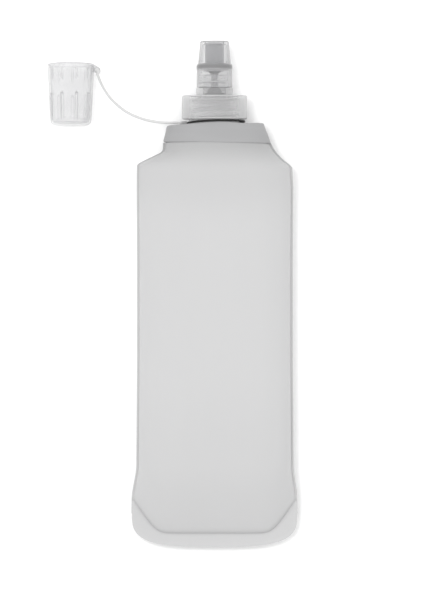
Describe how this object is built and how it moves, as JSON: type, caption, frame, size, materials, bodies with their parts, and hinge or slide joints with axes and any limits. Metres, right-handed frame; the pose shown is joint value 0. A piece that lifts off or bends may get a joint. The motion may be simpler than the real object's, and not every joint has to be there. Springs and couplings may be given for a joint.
{
  "type": "soft folding water flask",
  "caption": "Soft folding flask of two welded films with a rigid collar, screw cap, pull-up mouthpiece and a tethered dust cap.",
  "frame": {"origin": "on the flat back of the bag, under its middle, where the flask lies on a surface", "axes": "+Y up the bottle to the mouthpiece, +X to the right seen from the front, +Z out of the front face, away from the surface"},
  "size_m": [0.1252, 0.2532, 0.0328],
  "materials": {
    "film": "translucent frosted soft film",
    "collar": "translucent satin",
    "neck": "translucent satin",
    "gasket": "black rubber",
    "screw_cap": "translucent satin",
    "liner": "soft foam",
    "nozzle": "clear gloss",
    "seal": "silicone",
    "valve": "grey silicone, satin",
    "mouthpiece": "clear gloss",
    "dust_cap": "clear gloss",
    "tether": "translucent soft plastic"
  },
  "bodies": {
    "flask": {"front_film_upper": "film", "back_film_upper": "film", "shoulder_collar": "collar", "threaded_neck": "neck", "neck_gasket": "gasket"},
    "bag_lower": {"front_film_lower": "film", "back_film_lower": "film"},
    "nozzle": {"nozzle_base": "nozzle", "cap_liner": "liner", "mouthpiece_seal": "seal", "valve_stem": "valve", "valve_disc": "valve", "valve_tip": "valve"},
    "screw_cap": {"screw_cap": "screw_cap"},
    "mouthpiece": {"mouthpiece": "mouthpiece"},
    "tether_ring": {"tether_ring": "tether"},
    "strap_inner": {"tether_strap_inner": "tether"},
    "strap_outer": {"tether_strap_outer": "tether", "tether_toggle": "tether"},
    "dust_cap": {"dust_cap": "dust_cap"}
  },
  "joints": [
    {"name": "bag_fold", "type": "hinge", "parent": "flask", "child": "bag_lower", "pos_m": [0, -0.008, 0.0272], "axis": [-1, 0, 0], "range_deg": [0, 168]},
    {"name": "cap_turn", "type": "hinge", "parent": "nozzle", "child": "screw_cap", "pos_m": [0, 0.118, 0.0165], "axis": [0, -1, 0], "range_deg": [-720, 0]},
    {"name": "cap_lift", "type": "slide", "parent": "flask", "child": "nozzle", "axis": [0, 1, 0], "range_m": [0, 0.0081]},
    {"name": "mouthpiece_slide", "type": "slide", "parent": "nozzle", "child": "mouthpiece", "axis": [0, -1, 0], "range_m": [-0.005, 0]},
    {"name": "tether_swivel", "type": "hinge", "parent": "flask", "child": "tether_ring", "pos_m": [0, 0.11065, 0.0165], "axis": [0, 1, 0], "continuous": true},
    {"name": "tether_root_flex", "type": "hinge", "parent": "tether_ring", "child": "strap_inner", "pos_m": [-0.01816, 0.11065, 0.01536], "axis": [0.0625, 0, -0.998], "range_deg": [-15, 26], "stiffness_Nm_per_rad": 0.001, "deforming": ["tether_strap_inner"]},
    {"name": "tether_bend_flex", "type": "hinge", "parent": "strap_inner", "child": "strap_outer", "pos_m": [-0.04391, 0.116, 0.01375], "axis": [0.0625, 0, -0.998], "range_deg": [-25, 97.5], "stiffness_Nm_per_rad": 0.001, "deforming": ["tether_strap_outer"]},
    {"name": "dust_cap_pivot", "type": "hinge", "parent": "strap_outer", "child": "dust_cap", "pos_m": [-0.05869, 0.1372, 0.01282], "axis": [0.0625, 0, -0.998], "range_deg": [-10, 56.5]}
  ],
  "couplings": [
    {"joint": "cap_lift", "follows": "cap_turn", "m_per_rad": -0.00063662}
  ]
}
